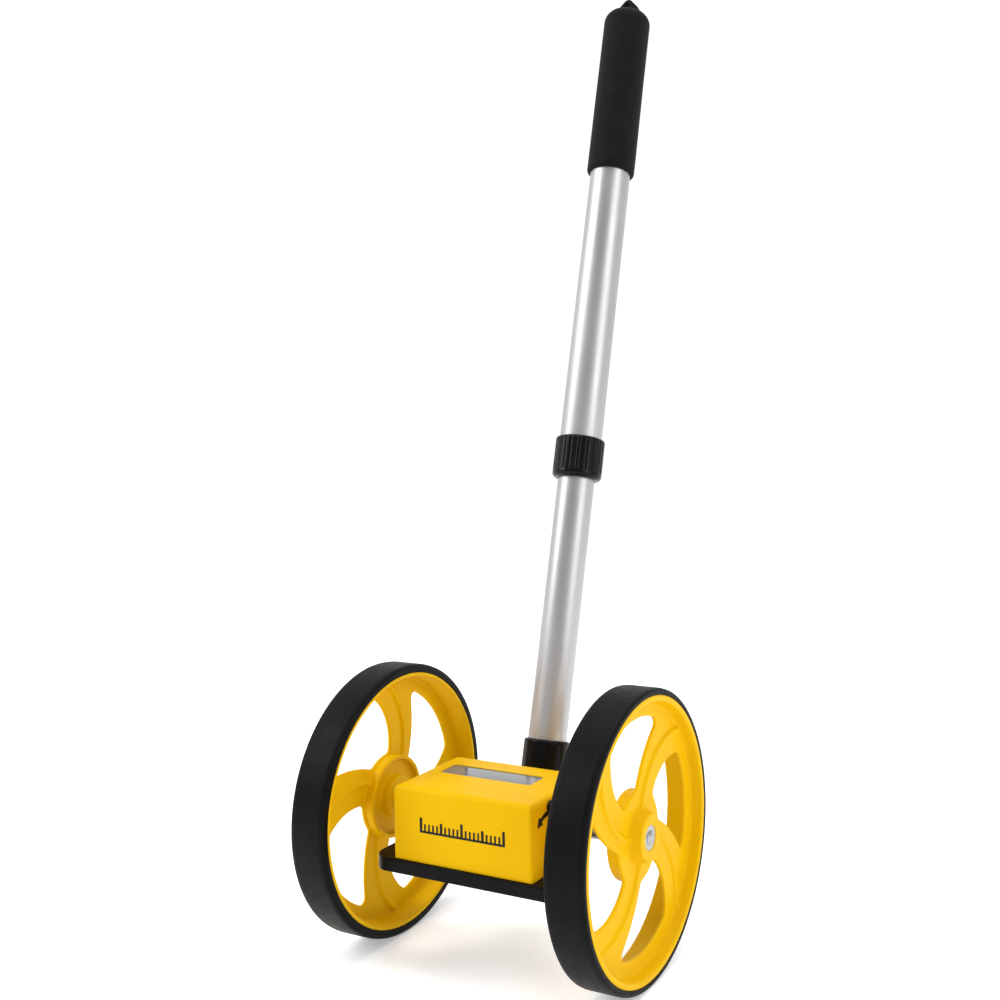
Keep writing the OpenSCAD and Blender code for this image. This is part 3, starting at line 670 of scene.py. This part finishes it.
hollow("lower_tube_look", "chassis", "tube_alloy", ALLOY, "lower_tube", LOWER_R, 10.7, -8, 352)
hollow("upper_tube_look", "upper_handle", "tube_alloy", ALLOY, "upper_tube", UPPER_R, UPPER_BORE,
       NUT_BOTTOM + 9.5, GRIP_BOTTOM + GRIP_LEN + 5)
build_lock_nut()
build_grip()
finish_piece(moulded("socket_look", "handle_socket", 0.5, 3), "chassis", "black_plastic", GLOSS_BLACK,
             "handle_socket")
finish_piece(moulded("hanger_cap_look", "hanger_cap", 0.35, 4), "upper_handle", "black_plastic", SATIN_BLACK,
             "hanger_cap")
finish_piece(moulded("reset_lever_look", "reset_lever", 0.25, 4), "reset", "black_plastic", SATIN_BLACK,
             "reset_lever")


# ---- CAD nodes that keep their shape -------------------------------------

NODE_MATERIALS = {
    SATIN_BLACK: ["counter_mask", "axle_bush_left", "axle_bush_right", "guide_plug", "lock_seat"],
    SHEET_STEEL: ["counter_frame"],
    STEEL: ["axle", "right_spacer", "left_spacer", "right_end_screw", "left_end_screw", "right_washer",
            "left_washer", "transfer_shaft", "socket_bolt", "socket_nut", "reset_spring", "reset_rake",
            "frame_screw_1", "frame_screw_2"]
           + [f"cover_screw_{i}" for i in range(1, 5)] + [f"socket_screw_{i}" for i in range(1, 5)],
    ACETAL: ["axle_gear", "idler_arbor", "units_arbor", "lock_collet", "left_hub_bush"]
            + [f"transfer_pinion_{i}" for i in range(1, 5)],
    DRUM_BLACK: [f"counter_drum_{i}" for i in range(1, 6)],
    PRINT_BLACK: ["reset_arrow"],
}
for node_material, node_names in NODE_MATERIALS.items():
    for node_name in node_names:
        node_object = frame["nodes"][node_name]
        for material_slot in node_object.material_slots:
            material_slot.material = node_material


# ---- floor, light and camera ---------------------------------------------

def area_light(name, place, target, size, power):
    data = bpy.data.lights.new(name, "AREA")
    data.shape = "RECTANGLE"
    data.size, data.size_y = size
    data.energy = power
    obj = bpy.data.objects.new(name, data)
    obj.location = place
    obj.rotation_mode = "QUATERNION"
    obj.rotation_quaternion = (Vector(target) - Vector(place)).to_track_quat("-Z", "Y")
    bpy.context.scene.collection.objects.link(obj)


WORLD_AHEAD = 1.05
WORLD_BEHIND = 0.42


def build_stage():
    """Pale floor, a world that is lighter ahead of the camera, and three soft lights."""
    bm = bmesh.new()
    reach = 12.0
    bmesh.ops.create_grid(bm, x_segments=1, y_segments=1, size=reach)
    floor = from_bmesh("floor", bm)
    n = Nodes("pale_floor")
    base = n.mix(n.ramp(n.noise(3, 3), 0.3, 0.7), (0.93, 0.93, 0.93), (0.92, 0.92, 0.925))
    floor.data.materials.append(set_shader(n, Base_Color=base, Roughness=0.8, Specular_IOR_Level=0.1,
                                           Emission_Color=(1, 1, 1), Emission_Strength=0.35))
    world = bpy.data.worlds.new("studio")
    bpy.context.scene.world = world
    world.use_nodes = True
    tree = world.node_tree
    background = tree.nodes["Background"]
    background.inputs["Strength"].default_value = 1.0
    coords = tree.nodes.new("ShaderNodeTexCoord")
    towards = tree.nodes.new("ShaderNodeVectorMath")
    towards.operation = "DOT_PRODUCT"
    towards.inputs[1].default_value = (-0.47, 0.88, 0.0)
    tree.links.new(coords.outputs["Generated"], towards.inputs[0])
    fade = tree.nodes.new("ShaderNodeMapRange")
    fade.inputs["From Min"].default_value = -0.5
    fade.inputs["From Max"].default_value = 0.55
    fade.inputs["To Min"].default_value = WORLD_BEHIND
    fade.inputs["To Max"].default_value = WORLD_AHEAD
    tree.links.new(towards.outputs["Value"], fade.inputs["Value"])
    tree.links.new(fade.outputs["Result"], background.inputs["Color"])
    area_light("key", (-1.5, -1.1, 1.5), (0, 0, 0.2), (1.0, 1.6), 28)
    area_light("fill", (1.9, -0.2, 1.1), (0, 0, 0.25), (1.0, 1.8), 17)
    area_light("top", (0.1, 0.3, 2.3), (0, 0, 0.15), (1.6, 1.6), 22)


def build_camera():
    """Camera towards the back left, nearly level, with a very small roll."""
    right = Vector((0.88184, 0.47116, -0.01917)).normalized()
    ahead = Vector((-0.47073, 0.88198, 0.02293)).normalized()
    up = right.cross(ahead).normalized()
    data = bpy.data.cameras.new("camera")
    data.sensor_width = 36
    data.lens = 43.515
    data.shift_x = -0.0794
    data.shift_y = -0.1180
    data.clip_start = 0.05
    camera = bpy.data.objects.new("camera", data)
    camera.matrix_world = Matrix.Translation((0.37481, -0.60155, 0.23376 + axle.z)) @ Matrix(
        (right, up, -ahead)).transposed().to_4x4()
    bpy.context.scene.collection.objects.link(camera)
    bpy.context.scene.camera = camera


build_stage()
build_camera()
bpy.context.scene.view_settings.view_transform = "Standard"
